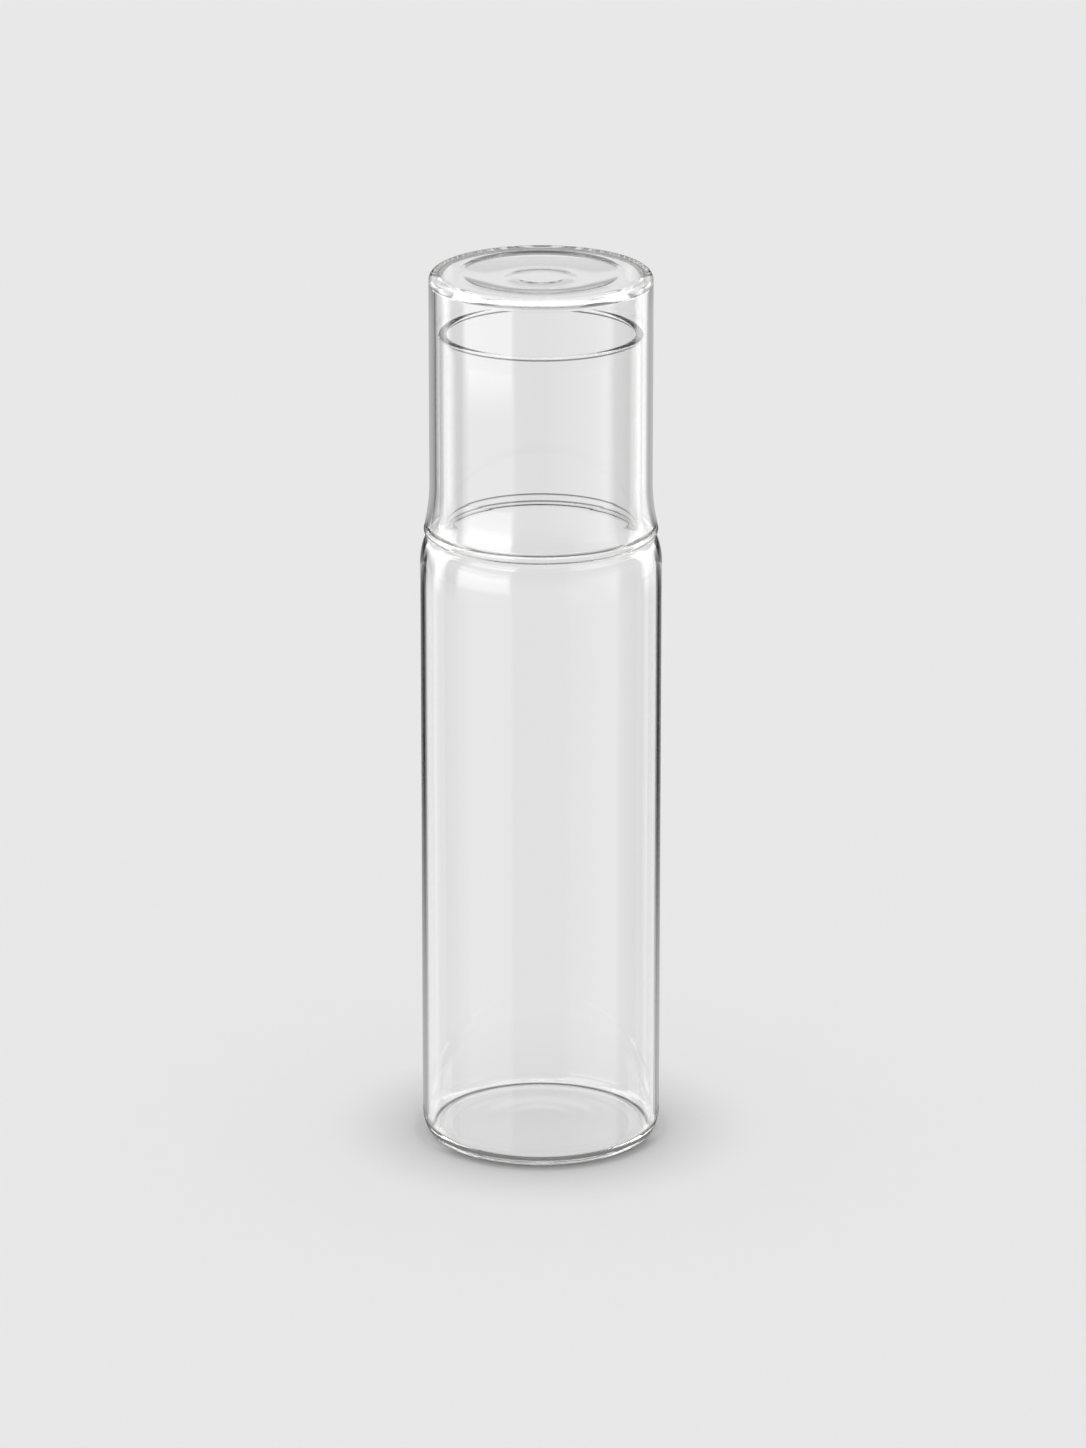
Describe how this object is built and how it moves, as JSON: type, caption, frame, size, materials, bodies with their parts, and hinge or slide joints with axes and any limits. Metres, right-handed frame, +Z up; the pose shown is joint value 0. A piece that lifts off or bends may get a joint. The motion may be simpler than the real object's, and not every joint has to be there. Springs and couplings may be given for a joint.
{
  "type": "bedside carafe with tumbler",
  "caption": "Clear glass bedside carafe with a straight body and wide neck; its drinking tumbler sits upside down over the neck as a lid and lifts off.",
  "frame": {"origin": "centre of the foot ring, on the surface that the carafe stands on", "axes": "+Z up along the axis that both glasses are turned round, from the foot to the tumbler's base; +X and +Y are free because both glasses are round"},
  "size_m": [0.075, 0.075, 0.28],
  "materials": {
    "carafe_glass": "clear, fire-polished",
    "tumbler_glass": "clear, fire-polished"
  },
  "bodies": {
    "carafe": {"carafe": "carafe_glass"},
    "tumbler": {"tumbler": "tumbler_glass"}
  },
  "joints": [
    {"name": "tumbler_lift", "type": "slide", "parent": "carafe", "child": "tumbler", "axis": [0, 0, 1], "range_m": [0, 0.15]}
  ]
}
